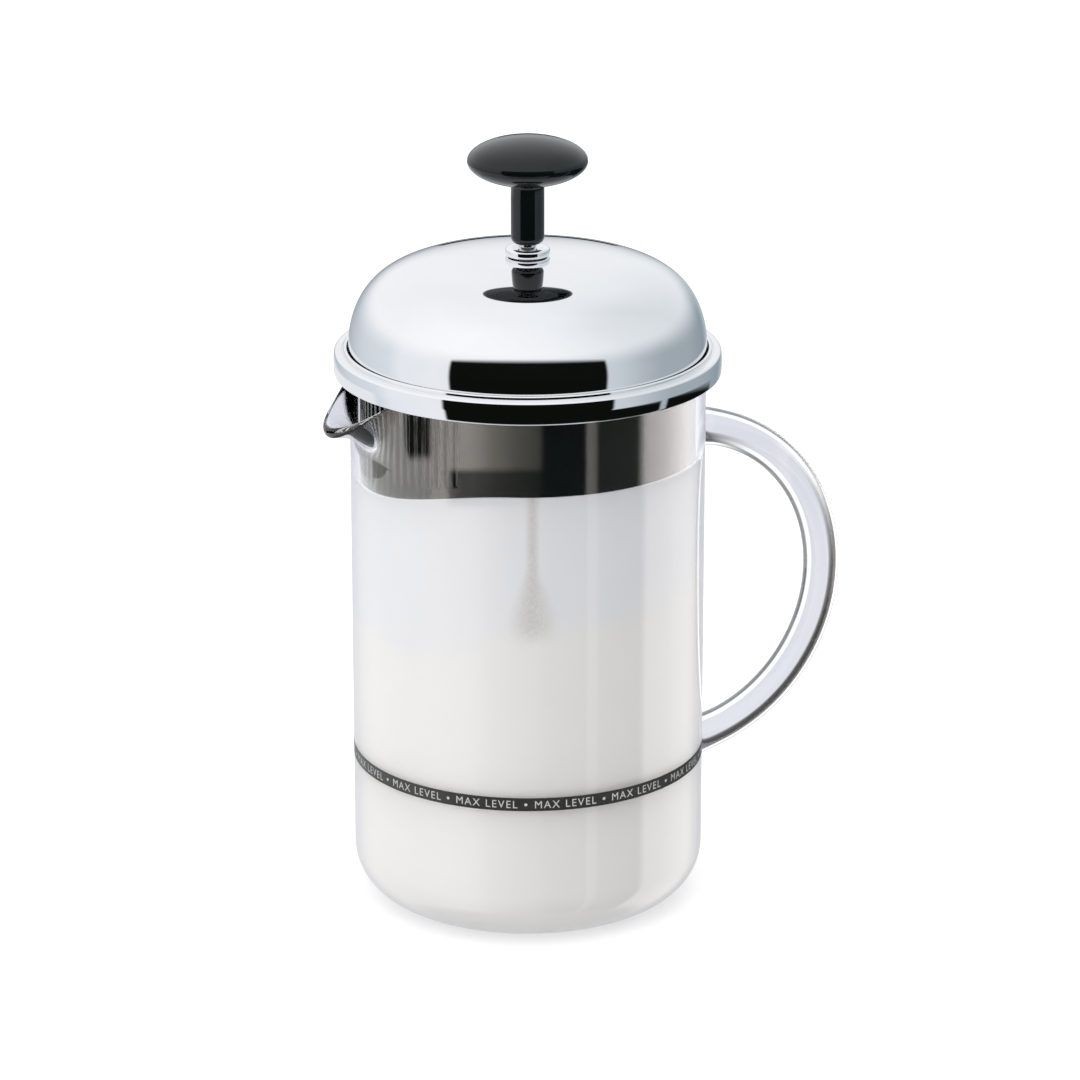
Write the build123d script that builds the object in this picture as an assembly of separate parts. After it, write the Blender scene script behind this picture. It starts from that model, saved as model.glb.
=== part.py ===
from build123d import *
import os
from math import cos, exp, radians, sin

# Hand-pumped milk frother: glass beaker, chrome lid, plunger with a mesh screen.
# Millimetres. Z is up and the origin is the middle of the beaker's underside.
# The handle stands towards +X and the pouring spout towards -X.

# Beaker
beaker_radius = 48.0
beaker_height = 150.0
beaker_corner = 14.0
glass_wall = 2.3
glass_floor = 3.0
spout_reach = 60.0
spout_root_z = 131.5
spout_throat_z = 135.0
spout_tip_z = 139.0
spout_half_width = 15.0

# Handle: a glass rod bent to a half circle
handle_bend = 46.0
handle_rod_radius = 5.0
handle_centre_x = 45.0
handle_centre_z = 81.0

# Lid rim, a channel ring that sits on the glass
rest_gap = 0.2
turn_gap = 0.3
rim_radius = 52.2
rim_lip_low = 148.9
rim_top = 155.2
rim_web = 1.3
rim_sheet = 1.2
rim_round = 0.6
rim_bead = 0.8

# Strainer skirt
skirt_radius = 45.3
skirt_wall = 1.6
skirt_low = 127.3
skirt_dip = 6.2
skirt_dip_half_deg = 60.0
skirt_dip_steps = 6
skirt_flange_radius = 50.4
skirt_flange = 1.5
slot_count = 25
slot_pitch_deg = 3.4
slot_width = 1.3
slot_low = 130.3
slot_high = 148.6

# Dome
dome_radius = 48.2
dome_foot = 156.1
dome_shoulder = 179.4
dome_crown = 1.2
dome_crown_spread = 24.0
dome_sheet = 1.0
dome_squareness = 0.40
dome_angles = (0, 12, 24, 36, 48, 58, 67, 75, 81, 85.5, 88.3, 89.7)
fit_gap = 0.1

# Guide through the dome
rod_radius = 2.4
running_gap = 0.05
bush_radius = 4.2
bush_low = 171.0
bush_high = 181.4
ferrule_radius = 6.05
ferrule_top = 183.0
ferrule_round = 1.1
washer_radius = 8.0
washer_thickness = 1.2
bush_nut_flats = 11.0
bush_nut_height = 3.6

# Knob
knob_radius = 16.1
knob_low = 200.1
knob_seam = 206.6
knob_top = 213.1
knob_point = 1.08
knob_steps = 8
stem_radius = 4.5
stem_low = 184.0
stem_round = 1.9
insert_radius = 3.3
insert_low = 186.5
insert_high = 199.0
register_radius = 6.0
register_height = 2.0

# Plunger stack, listed upwards
rod_low = 9.0
hub_nut_low = 8.0
hub_nut_flats = 9.0
cross_plate_low = 14.6
cross_plate_radius = 39.0
cross_plate_sheet = 1.0
screen_radius = 42.0
screen_sheet = 0.4
spacer_radius = 8.0
spacer_height = 2.8
spring_plate_sheet = 0.8
collar_radius = 6.0
collar_height = 4.0
spring_path_radius = 43.7
spring_coil_radius = 1.6

# Levels that follow from the sizes above
dome_top = dome_shoulder + dome_crown
washer_top = dome_top - dome_sheet - 0.3
lower_screen_low = cross_plate_low + cross_plate_sheet
spacer_low = lower_screen_low + screen_sheet
upper_screen_low = spacer_low + spacer_height
spring_plate_low = upper_screen_low + screen_sheet
collar_low = spring_plate_low + spring_plate_sheet
spring_level = spacer_low + spacer_height / 2
rim_ledge_low = beaker_height + rest_gap
rim_ledge_high = rim_ledge_low + rim_sheet
flange_low = rim_ledge_high + turn_gap
flange_high = flange_low + skirt_flange

upright = (Align.CENTER, Align.CENTER, Align.MIN)


def disc(radius, low, high):
    """A round bar on the Z axis."""
    return Pos(0, 0, low) * Cylinder(radius, high - low, align=upright)


def ring(inner, outer, low, high):
    """A flat ring or tube on the Z axis."""
    return disc(outer, low, high) - disc(inner, low - 1, high + 1)


def turned(outline):
    """A solid of revolution about Z from a closed outline in radius and height."""
    return revolve(Plane.XZ * outline, Axis.Z, 360)


def hexagon(flats, low, high):
    """A six-sided bar on the Z axis, its top and bottom corners broken."""
    bar = extrude(RegularPolygon(flats / 2, 6, major_radius=False), high - low)
    bar = chamfer(bar.faces().sort_by(Axis.Z)[-1].edges(), 0.5)
    return Pos(0, 0, low) * bar


def cup(radius, low, high, corner):
    """A round bar whose bottom edge is rounded, as the inside or outside of a beaker."""
    bar = disc(radius, low, high)
    return fillet(bar.faces().sort_by(Axis.Z)[0].edges(), corner)


def widest_edges(body, radius):
    """The round edges of a turned solid at its largest radius."""
    return body.edges().filter_by(GeomType.CIRCLE).filter_by(lambda e: e.radius > radius - 0.01)


def spout_form(inset):
    """The funnel that bulges out of the wall; inset moves its surface inwards."""
    levels = (spout_root_z, spout_throat_z, spout_tip_z, beaker_height + 2)
    reaches = (beaker_radius + 0.2, spout_reach - 5.5, spout_reach, spout_reach + 5)
    widths = (7.0, spout_half_width - 4, spout_half_width - 2, spout_half_width)
    circles = []
    for level, reach, width in zip(levels, reaches, widths):
        circles.append(Pos(width - reach, 0, level) * Circle(width - inset))
    return loft(circles)


def spout_cut():
    """The wedge above the sloping mouth of the spout."""
    mouth_start = beaker_radius - 3
    slope = (beaker_height - spout_tip_z) / (spout_reach - mouth_start)
    far = spout_reach + 15
    corners = [
        (-mouth_start, beaker_height),
        (-far, beaker_height - slope * (far - mouth_start)),
        (-far, beaker_height + 10),
        (-mouth_start, beaker_height + 10),
    ]
    face = Plane.XZ * make_face(Polyline(*corners, close=True))
    return extrude(face, 40, both=True)


def make_beaker():
    outside = cup(beaker_radius, 0, beaker_height, beaker_corner)
    inside = cup(beaker_radius - glass_wall, glass_floor, beaker_height + 5, beaker_corner - glass_wall)
    outside += spout_form(0) & disc(2 * spout_reach, 0, beaker_height)
    inside += spout_form(glass_wall)
    return outside - inside - spout_cut()


def make_handle():
    circle = Pos(0, handle_centre_z + handle_bend) * Circle(handle_rod_radius)
    section = Plane.YZ.offset(handle_centre_x) * circle
    axis = Axis((handle_centre_x, 0, handle_centre_z), (0, 1, 0))
    return revolve(section, axis, 180) - disc(beaker_radius, 0, beaker_height)


def make_lid_rim():
    web_inner = rim_radius - rim_web
    lip_inner = dome_radius + turn_gap + fit_gap
    ledge_inner = skirt_radius + 3 * turn_gap
    corners = [
        (rim_radius, rim_lip_low),
        (rim_radius, rim_top),
        (lip_inner + rim_bead, rim_top),
        (lip_inner + rim_bead, rim_top + rim_bead),
        (lip_inner, rim_top + rim_bead),
        (lip_inner, rim_top - rim_sheet),
        (web_inner, rim_top - rim_sheet),
        (web_inner, rim_ledge_high),
        (ledge_inner, rim_ledge_high),
        (ledge_inner, rim_ledge_low),
        (web_inner, rim_ledge_low),
        (web_inner, rim_lip_low),
    ]
    body = turned(make_face(Polyline(*corners, close=True)))
    return fillet(widest_edges(body, rim_radius), rim_round)


def dome_outline(radius, top):
    """Points of the dome's outline: a squared ellipse with a gentle crown over the middle."""
    rise = top - dome_crown - dome_foot
    points = []
    for angle in dome_angles:
        t = radians(angle)
        r = radius * cos(t) ** dome_squareness
        crown = dome_crown * exp(-((r / dome_crown_spread) ** 2))
        points.append((r, dome_foot + rise * sin(t) + crown))
    points.append((bush_radius + fit_gap, top))
    return points


def make_lid_dome():
    outer = dome_outline(dome_radius, dome_top)
    inner = dome_outline(dome_radius - dome_sheet, dome_top - dome_sheet)
    hem_out = (dome_radius, flange_high)
    hem_in = (dome_radius - dome_sheet, flange_high)
    lines = [
        Line(hem_in, hem_out),
        Line(hem_out, outer[0]),
        Spline(*outer, tangents=[(0, 1), (-1, 0)]),
        Line(outer[-1], inner[-1]),
        Spline(*inner, tangents=[(0, 1), (-1, 0)]),
        Line(inner[0], hem_in),
    ]
    return turned(make_face(lines))


def dip_depth(angle):
    """How far the skirt's lower edge dips at an angle in degrees from the spout."""
    share = min(abs(angle) / skirt_dip_half_deg, 1)
    return skirt_dip * cos(radians(90 * share)) ** 2


def under_skirt():
    """The room under the skirt's lower edge, which dips smoothly towards the spout."""
    far = skirt_radius + 5
    bottom = skirt_low - skirt_dip - 5
    points = []
    for step in range(-skirt_dip_steps, skirt_dip_steps + 1):
        angle = skirt_dip_half_deg * step / skirt_dip_steps
        points.append((skirt_radius * sin(radians(angle)), skirt_low - dip_depth(angle)))
    edge = Spline(*points, tangents=[(1, 0), (1, 0)])
    frame = [points[-1], (far, skirt_low), (far, bottom), (-far, bottom), (-far, skirt_low), points[0]]
    spout_side = extrude(Plane.YZ * make_face([edge, *Polyline(*frame).edges()]), far, dir=(-1, 0, 0))
    size = (far, 2 * far, skirt_low - bottom)
    handle_side = Pos(0, 0, bottom) * Box(*size, align=(Align.MIN, Align.CENTER, Align.MIN))
    return spout_side + handle_side


def make_strainer_skirt():
    inner = skirt_radius - skirt_wall
    wall = ring(inner, skirt_radius, skirt_low - skirt_dip - 1, flange_high) - under_skirt()
    body = wall + ring(inner, skirt_flange_radius, flange_low, flange_high)
    slots = []
    for i in range(slot_count):
        angle = (i - (slot_count - 1) / 2) * slot_pitch_deg
        low = slot_low - dip_depth(angle)
        slot = Pos(skirt_radius, 0, (low + slot_high) / 2) * Box(6, slot_width, slot_high - low)
        slots.append(Rot(0, 0, 180 + angle) * slot)
    return body - slots


def make_dome_ferrule():
    body = ring(rod_radius + 0.2, ferrule_radius, dome_top, ferrule_top)
    body -= disc(bush_radius + fit_gap, dome_top - 1, bush_high + fit_gap)
    return fillet(widest_edges(body, ferrule_radius), ferrule_round)


def make_guide_bush():
    return ring(rod_radius + running_gap, bush_radius, bush_low, bush_high)


def make_bush_washer():
    return ring(bush_radius + fit_gap, washer_radius, washer_top - washer_thickness, washer_top)


def make_bush_nut():
    top = washer_top - washer_thickness
    nut = hexagon(bush_nut_flats, top - bush_nut_height, top)
    return nut - disc(bush_radius + fit_gap, bush_low, dome_top)


def knob_half(pole):
    """One half of the lens-shaped knob, from its seam to a pole, slightly pointed at the edge."""
    rise = pole - knob_seam
    points = []
    for step in range(knob_steps + 1):
        t = radians(90 * step / knob_steps)
        points.append((knob_radius * abs(cos(t)) ** knob_point, knob_seam + rise * sin(t)))
    points[-1] = (0, pole)
    lines = [Spline(*points), Line((0, pole), (0, knob_seam)), Line((0, knob_seam), points[0])]
    return turned(make_face(lines))


def make_knob_cap():
    return knob_half(knob_top) + disc(register_radius, knob_seam - register_height, knob_seam + 1)


def make_knob_base():
    stem = disc(stem_radius, stem_low, knob_seam - register_height - 1)
    stem = fillet(stem.faces().sort_by(Axis.Z)[0].edges(), stem_round)
    body = knob_half(knob_low) + stem
    body -= disc(register_radius + fit_gap, knob_seam - register_height - fit_gap, knob_seam + 1)
    body -= disc(insert_radius + fit_gap, insert_low, insert_high + 0.5)
    return body - disc(rod_radius + fit_gap, stem_low - 1, insert_low + 1)


def make_knob_insert():
    return ring(rod_radius + running_gap, insert_radius, insert_low, insert_high)


def make_plunger_rod():
    rod = disc(rod_radius, rod_low, insert_high - 0.5)
    return chamfer(rod.edges().filter_by(GeomType.CIRCLE), 0.5)


def make_rod_collar():
    body = ring(rod_radius + running_gap, collar_radius, collar_low, collar_low + collar_height)
    top_edges = body.faces().sort_by(Axis.Z)[-1].edges().sort_by(lambda e: e.radius)
    return fillet(top_edges[-1], 1.5)


def holes(rows, low, high):
    """Round holes in rings; each row gives the ring's radius, the count and the hole's radius."""
    cutters = []
    for ring_radius, count, hole_radius in rows:
        for i in range(count):
            turn = Rot(0, 0, 360 * i / count)
            cutters.append(turn * Pos(ring_radius, 0, 0) * disc(hole_radius, low - 1, high + 1))
    return cutters


def make_spring_plate():
    low = spring_plate_low
    high = low + spring_plate_sheet
    plate = ring(rod_radius + fit_gap, screen_radius, low, high)
    return plate - holes(((13, 8, 3.2), (24, 14, 3.6), (35, 20, 3.8)), low, high)


def make_screen(low):
    return ring(rod_radius + fit_gap, screen_radius, low, low + screen_sheet)


def make_screen_spacer():
    return ring(rod_radius + fit_gap, spacer_radius, spacer_low, spacer_low + spacer_height)


def make_edge_spring():
    return Pos(0, 0, spring_level) * Torus(spring_path_radius, spring_coil_radius)


def make_cross_plate():
    low = cross_plate_low
    high = low + cross_plate_sheet
    plate = ring(rod_radius + fit_gap, cross_plate_radius, low, high)
    return plate - holes(((14, 6, 4.2), (28, 12, 5.2)), low, high)


def make_hub_nut():
    nut = hexagon(hub_nut_flats, hub_nut_low + 2, cross_plate_low)
    cap = disc(hub_nut_flats / 2 - 0.3, hub_nut_low, hub_nut_low + 2)
    cap = fillet(cap.faces().sort_by(Axis.Z)[0].edges(), 1.6)
    return nut + cap - disc(rod_radius + fit_gap, rod_low - 0.3, cross_plate_low + 1)


parts = {
    "beaker": make_beaker(),
    "glass_handle": make_handle(),
    "lid_rim": make_lid_rim(),
    "lid_dome": make_lid_dome(),
    "strainer_skirt": make_strainer_skirt(),
    "dome_ferrule": make_dome_ferrule(),
    "guide_bush": make_guide_bush(),
    "bush_washer": make_bush_washer(),
    "bush_nut": make_bush_nut(),
    "knob_cap": make_knob_cap(),
    "knob_base": make_knob_base(),
    "knob_insert": make_knob_insert(),
    "plunger_rod": make_plunger_rod(),
    "rod_collar": make_rod_collar(),
    "spring_plate": make_spring_plate(),
    "upper_screen": make_screen(upper_screen_low),
    "screen_spacer": make_screen_spacer(),
    "lower_screen": make_screen(lower_screen_low),
    "edge_spring": make_edge_spring(),
    "cross_plate": make_cross_plate(),
    "hub_nut": make_hub_nut(),
}

os.makedirs("parts", exist_ok=True)
for name, shape in parts.items():
    export_step(shape, f"parts/{name}.step")
    print(name, round(shape.volume, 1))
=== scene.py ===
"""Looks of a hand-pumped milk frother: glass beaker with a rod handle, chrome lid, black knob and plunger.

Lengths are metres, in the CAD frame: Z up, handle towards +X, spout towards -X. Small sizes are written in
millimetres times MM.
"""

import math

import bmesh
import bpy
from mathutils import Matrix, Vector


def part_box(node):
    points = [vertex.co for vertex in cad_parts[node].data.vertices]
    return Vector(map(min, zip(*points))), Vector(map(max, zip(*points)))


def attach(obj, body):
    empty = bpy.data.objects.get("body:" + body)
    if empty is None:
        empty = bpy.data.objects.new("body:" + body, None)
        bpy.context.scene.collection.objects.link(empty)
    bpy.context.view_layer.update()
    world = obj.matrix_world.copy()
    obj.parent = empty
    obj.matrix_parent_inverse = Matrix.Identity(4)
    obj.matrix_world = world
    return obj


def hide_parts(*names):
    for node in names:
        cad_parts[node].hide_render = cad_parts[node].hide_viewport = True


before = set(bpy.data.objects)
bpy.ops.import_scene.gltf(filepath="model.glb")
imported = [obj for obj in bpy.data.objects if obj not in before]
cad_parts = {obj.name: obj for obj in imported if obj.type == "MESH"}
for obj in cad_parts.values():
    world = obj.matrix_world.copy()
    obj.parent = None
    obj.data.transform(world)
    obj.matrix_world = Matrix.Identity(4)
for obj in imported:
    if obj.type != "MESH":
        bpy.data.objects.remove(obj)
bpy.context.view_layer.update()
scene = bpy.context.scene
MM = 0.001

# Corners of the CAD pieces, read from the frame
beaker_low, beaker_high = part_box("beaker")
handle_low, handle_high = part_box("glass_handle")
rim_low, rim_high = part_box("lid_rim")
dome_low, dome_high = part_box("lid_dome")
skirt_low, skirt_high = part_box("strainer_skirt")
ferrule_low, ferrule_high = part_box("dome_ferrule")
cap_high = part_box("knob_cap")[1]
base_low, base_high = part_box("knob_base")
rod_low, rod_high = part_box("plunger_rod")
spring_low, spring_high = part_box("edge_spring")

GLASS_R = beaker_high.y
GLASS_H = beaker_high.z
SPOUT_R = -beaker_low.x
ROD_R = rod_high.y
WALL = 2.3 * MM
FLOOR = 3.0 * MM
CORNER = 14.0 * MM

# ---------------------------------------------------------------- camera

CAMERA_AZIMUTH = -25.0
CAMERA_DISTANCE = 1.199
CAMERA_HEIGHT = 0.501
CAMERA_TILT = 18.47
CAMERA_ASIDE = 3.3 * MM
FOCAL_LENGTH = 154.7


def around(azimuth, distance, height):
    """A point at an azimuth (0 is in front, towards -Y), a distance from the axis and a height."""
    a = math.radians(azimuth)
    return Vector((math.sin(a) * distance, -math.cos(a) * distance, height))


def make_camera():
    data = bpy.data.cameras.new("camera")
    camera = bpy.data.objects.new("camera", data)
    scene.collection.objects.link(camera)
    camera.location = around(CAMERA_AZIMUTH, CAMERA_DISTANCE, CAMERA_HEIGHT)
    drop = CAMERA_DISTANCE * math.tan(math.radians(CAMERA_TILT))
    aim = around(CAMERA_AZIMUTH + 90, CAMERA_ASIDE, CAMERA_HEIGHT - drop)
    camera.rotation_euler = (aim - camera.location).to_track_quat("-Z", "Y").to_euler()
    data.lens = FOCAL_LENGTH
    data.sensor_width = 36
    data.clip_start = 0.05
    data.clip_end = 60
    scene.camera = camera


make_camera()

# ---------------------------------------------------------------- node helpers


def new_material(name):
    material = bpy.data.materials.new(name)
    material.use_nodes = True
    material.node_tree.nodes.clear()
    return material, material.node_tree


def add(tree, kind, **values):
    node = tree.nodes.new(kind)
    for key, value in values.items():
        if hasattr(node, key):
            setattr(node, key, value)
        else:
            node.inputs[key].default_value = value
    return node


def link(tree, a, out, b, into):
    tree.links.new(a.outputs[out], b.inputs[into])


def noise(tree, scale, detail=3.0, rough=0.5, stretch=(1, 1, 1)):
    """Noise in object space, so that it stays with the piece."""
    place = tree.nodes.new("ShaderNodeTexCoord")
    mapping = tree.nodes.new("ShaderNodeMapping")
    mapping.inputs["Scale"].default_value = stretch
    texture = tree.nodes.new("ShaderNodeTexNoise")
    texture.inputs["Scale"].default_value = scale
    texture.inputs["Detail"].default_value = detail
    texture.inputs["Roughness"].default_value = rough
    link(tree, place, "Object", mapping, "Vector")
    link(tree, mapping, "Vector", texture, "Vector")
    return texture


def ramp(tree, source, out, stops):
    node = tree.nodes.new("ShaderNodeValToRGB")
    while len(node.color_ramp.elements) < len(stops):
        node.color_ramp.elements.new(0.5)
    for element, (place, color) in zip(node.color_ramp.elements, stops):
        element.position = place
        element.color = (*color, 1)
    link(tree, source, out, node, "Fac")
    return node


def spread(tree, source, out, low, high):
    """Maps 0..1 to low..high."""
    node = tree.nodes.new("ShaderNodeMapRange")
    node.inputs["To Min"].default_value = low
    node.inputs["To Max"].default_value = high
    link(tree, source, out, node, "Value")
    return node


def bump(tree, source, out, strength, distance):
    node = tree.nodes.new("ShaderNodeBump")
    node.inputs["Strength"].default_value = strength
    node.inputs["Distance"].default_value = distance
    link(tree, source, out, node, "Height")
    return node


def math_node(tree, operation, *values):
    node = add(tree, "ShaderNodeMath", operation=operation)
    for socket, value in zip(node.inputs, values):
        if isinstance(value, (int, float)):
            socket.default_value = value
        else:
            tree.links.new(value, socket)
    return node.outputs[0]


def step(tree, value, start, end):
    """A smooth step from 0 at start to 1 at end."""
    node = tree.nodes.new("ShaderNodeMapRange")
    node.interpolation_type = "SMOOTHSTEP"
    node.inputs["From Min"].default_value = start
    node.inputs["From Max"].default_value = end
    tree.links.new(value, node.inputs["Value"])
    return node.outputs["Result"]


def window(tree, turn, rise, sides, heights, soft_turn, soft_rise):
    """1 inside a patch of the surroundings with soft edges, else 0."""
    inside = step(tree, turn, sides[0] - soft_turn, sides[0] + soft_turn)
    for value, edge, soft in (
        (turn, sides[1], -soft_turn),
        (rise, heights[0], soft_rise),
        (rise, heights[1], -soft_rise),
    ):
        inside = math_node(tree, "MULTIPLY", inside, step(tree, value, edge - soft, edge + soft))
    return inside


def blend_colors(tree, share, first, second):
    node = tree.nodes.new("ShaderNodeMix")
    node.data_type = "RGBA"
    sockets = [s for s in node.inputs if s.enabled]
    for socket, value in zip(sockets, (share, first, second)):
        if isinstance(value, tuple):
            socket.default_value = (*value, 1)
        else:
            tree.links.new(value, socket)
    return [s for s in node.outputs if s.enabled][0]


def dot(tree, direction, towards):
    node = add(tree, "ShaderNodeVectorMath", operation="DOT_PRODUCT")
    tree.links.new(direction, node.inputs[0])
    node.inputs[1].default_value = towards
    return node.outputs["Value"]


def surface(tree, shader):
    output = tree.nodes.new("ShaderNodeOutputMaterial")
    tree.links.new(shader, output.inputs["Surface"])


# ---------------------------------------------------------------- materials


def glass_material():
    """Clear borosilicate glass; lamps reach what is behind it."""
    material, tree = new_material("borosilicate_glass")
    body = add(tree, "ShaderNodeBsdfPrincipled")
    body.inputs["Base Color"].default_value = (0.975, 0.982, 0.985, 1)
    body.inputs["Transmission Weight"].default_value = 1.0
    body.inputs["IOR"].default_value = 1.474
    body.inputs["Roughness"].default_value = 0.0
    waves = noise(tree, 11, 1, 0.4, (1, 1, 0.35))
    ripple = bump(tree, waves, "Fac", 0.035, 0.9 * MM)
    link(tree, ripple, "Normal", body, "Normal")
    clear = add(tree, "ShaderNodeBsdfTransparent")
    clear.inputs["Color"].default_value = (0.97, 0.98, 0.98, 1)
    path = add(tree, "ShaderNodeLightPath")
    mix = add(tree, "ShaderNodeMixShader")
    link(tree, path, "Is Shadow Ray", mix, "Fac")
    tree.links.new(body.outputs[0], mix.inputs[1])
    tree.links.new(clear.outputs[0], mix.inputs[2])
    surface(tree, mix.outputs[0])
    return material


def chrome_material():
    """Mirror chrome with faint wipe marks and a very slight waviness of the pressed sheet."""
    material, tree = new_material("mirror_chrome")
    body = add(tree, "ShaderNodeBsdfPrincipled")
    body.inputs["Metallic"].default_value = 1.0
    wipe = noise(tree, 26, 4, 0.6, (1, 1, 2.2))
    tint = ramp(tree, wipe, "Fac", [(0.3, (0.86, 0.875, 0.89)), (0.7, (0.91, 0.92, 0.93))])
    link(tree, tint, "Color", body, "Base Color")
    rough = spread(tree, wipe, "Fac", 0.012, 0.045)
    link(tree, rough, "Result", body, "Roughness")
    sheet = noise(tree, 7, 1)
    wave = bump(tree, sheet, "Fac", 0.04, 1.0 * MM)
    link(tree, wave, "Normal", body, "Normal")
    surface(tree, body.outputs[0])
    return material


def black_material():
    """Gloss black moulded plastic with a fine flow texture."""
    material, tree = new_material("gloss_black_plastic")
    body = add(tree, "ShaderNodeBsdfPrincipled")
    flow = noise(tree, 60, 5, 0.6)
    tint = ramp(tree, flow, "Fac", [(0.3, (0.002, 0.0035, 0.0035)), (0.75, (0.004, 0.007, 0.007))])
    link(tree, tint, "Color", body, "Base Color")
    rough = spread(tree, flow, "Fac", 0.05, 0.11)
    link(tree, rough, "Result", body, "Roughness")
    body.inputs["IOR"].default_value = 1.43
    body.inputs["Coat Weight"].default_value = 0.1
    body.inputs["Coat Roughness"].default_value = 0.03
    grain = noise(tree, 900, 2)
    fine = bump(tree, grain, "Fac", 0.03, 0.1 * MM)
    link(tree, fine, "Normal", body, "Normal")
    surface(tree, body.outputs[0])
    return material


def steel_material(name, stretch, low=0.16, high=0.34, tone=0.62):
    """Stainless steel with drawn or turned marks along the stretched direction."""
    material, tree = new_material(name)
    body = add(tree, "ShaderNodeBsdfPrincipled")
    body.inputs["Metallic"].default_value = 1.0
    marks = noise(tree, 300, 4, 0.7, stretch)
    tint = ramp(
        tree,
        marks,
        "Fac",
        [(0.25, (tone * 0.86, tone * 0.86, tone * 0.85)), (0.75, (tone * 1.1, tone * 1.1, tone * 1.09))],
    )
    link(tree, tint, "Color", body, "Base Color")
    rough = spread(tree, marks, "Fac", low, high)
    link(tree, rough, "Result", body, "Roughness")
    fine = bump(tree, marks, "Fac", 0.12, 0.05 * MM)
    link(tree, fine, "Normal", body, "Normal")
    surface(tree, body.outputs[0])
    return material


def brass_material():
    material, tree = new_material("turned_brass")
    body = add(tree, "ShaderNodeBsdfPrincipled")
    body.inputs["Metallic"].default_value = 1.0
    marks = noise(tree, 400, 3, 0.6, (0.2, 0.2, 6))
    tint = ramp(tree, marks, "Fac", [(0.3, (0.52, 0.36, 0.14)), (0.75, (0.72, 0.54, 0.26))])
    link(tree, tint, "Color", body, "Base Color")
    rough = spread(tree, marks, "Fac", 0.18, 0.36)
    link(tree, rough, "Result", body, "Roughness")
    surface(tree, body.outputs[0])
    return material


def nylon_material():
    material, tree = new_material("natural_nylon")
    body = add(tree, "ShaderNodeBsdfPrincipled")
    cloud = noise(tree, 120, 4)
    tint = ramp(tree, cloud, "Fac", [(0.3, (0.70, 0.68, 0.62)), (0.7, (0.80, 0.78, 0.72))])
    link(tree, tint, "Color", body, "Base Color")
    rough = spread(tree, cloud, "Fac", 0.38, 0.55)
    link(tree, rough, "Result", body, "Roughness")
    body.inputs["Subsurface Weight"].default_value = 0.15
    body.inputs["Subsurface Radius"].default_value = (1 * MM, 0.8 * MM, 0.6 * MM)
    surface(tree, body.outputs[0])
    return material


def print_material(name, low, high, rough_low, rough_high):
    """Screen-printed enamel: an uneven ink film."""
    material, tree = new_material(name)
    body = add(tree, "ShaderNodeBsdfPrincipled")
    film = noise(tree, 700, 4, 0.65)
    tint = ramp(tree, film, "Fac", [(0.3, low), (0.75, high)])
    link(tree, tint, "Color", body, "Base Color")
    rough = spread(tree, film, "Fac", rough_low, rough_high)
    link(tree, rough, "Result", body, "Roughness")
    surface(tree, body.outputs[0])
    return material


glass = glass_material()
chrome = chrome_material()
black = black_material()
steel_turned = steel_material("turned_steel", (0.15, 0.15, 5))
steel_rod = steel_material("polished_rod", (3, 3, 0.1), 0.06, 0.16, 0.7)
steel_sheet = steel_material("pressed_steel", (1, 0.08, 1))
steel_wire = steel_material("steel_wire", (1, 1, 1), 0.2, 0.38, 0.6)
brass = brass_material()
nylon = nylon_material()
band_ink = print_material("band_ink", (0.022, 0.022, 0.020), (0.036, 0.036, 0.033), 0.3, 0.45)
letter_ink = print_material("letter_ink", (0.42, 0.42, 0.40), (0.55, 0.55, 0.53), 0.35, 0.5)

# ---------------------------------------------------------------- mesh helpers


def mesh_object(name, bm, material, smooth_angle=None):
    mesh = bpy.data.meshes.new(name)
    bm.normal_update()
    bm.to_mesh(mesh)
    bm.free()
    piece = bpy.data.objects.new(name, mesh)
    scene.collection.objects.link(piece)
    mesh.materials.append(material)
    mesh.shade_smooth()
    if smooth_angle is not None:
        mesh.set_sharp_from_angle(angle=math.radians(smooth_angle))
    return piece


def rounded(corners, steps=5):
    """An outline whose corners (r, z, radius) are replaced by small arcs."""
    points = []
    count = len(corners)
    for i, (r, z, radius) in enumerate(corners):
        here = Vector((r, z))
        before = Vector(corners[i - 1][:2]) - here
        after = Vector(corners[(i + 1) % count][:2]) - here
        if radius <= 0 or before.length < 1e-9 or after.length < 1e-9:
            points.append(here)
            continue
        half = before.angle(after) / 2
        reach = min(radius / math.tan(half), before.length * 0.49, after.length * 0.49)
        start = here + before.normalized() * reach
        end = here + after.normalized() * reach
        for k in range(steps + 1):
            t = k / steps
            points.append(start * (1 - t) ** 2 + here * 2 * t * (1 - t) + end * t * t)
    return points


def lathe(name, points, material, steps=192, closed=True, smooth_angle=None, bend=None):
    """A turned body from points (r, z). bend(r, angle, z) may move each point and returns x, y, z."""
    bm = bmesh.new()
    rows = []
    for r, z in points:
        if r < 1e-8:
            rows.append([bm.verts.new((0, 0, z))])
            continue
        row = []
        for i in range(steps):
            a = 2 * math.pi * i / steps
            place = bend(r, a, z) if bend else (r * math.cos(a), r * math.sin(a), z)
            row.append(bm.verts.new(place))
        rows.append(row)
    pairs = list(zip(rows, rows[1:]))
    if closed and len(rows[0]) > 1 and len(rows[-1]) > 1:
        pairs.append((rows[-1], rows[0]))
    for low, high in pairs:
        for i in range(steps):
            j = (i + 1) % steps
            corners = [low[i % len(low)], low[j % len(low)], high[j % len(high)], high[i % len(high)]]
            unique = list(dict.fromkeys(corners))
            if len(unique) > 2:
                bm.faces.new(unique)
    bmesh.ops.recalc_face_normals(bm, faces=bm.faces)
    return mesh_object(name, bm, material, smooth_angle)


def arc(centre_r, centre_z, radius, start, end, steps):
    points = []
    for k in range(steps + 1):
        a = math.radians(start + (end - start) * k / steps)
        points.append(Vector((centre_r + radius * math.cos(a), centre_z + radius * math.sin(a))))
    return points


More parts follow.
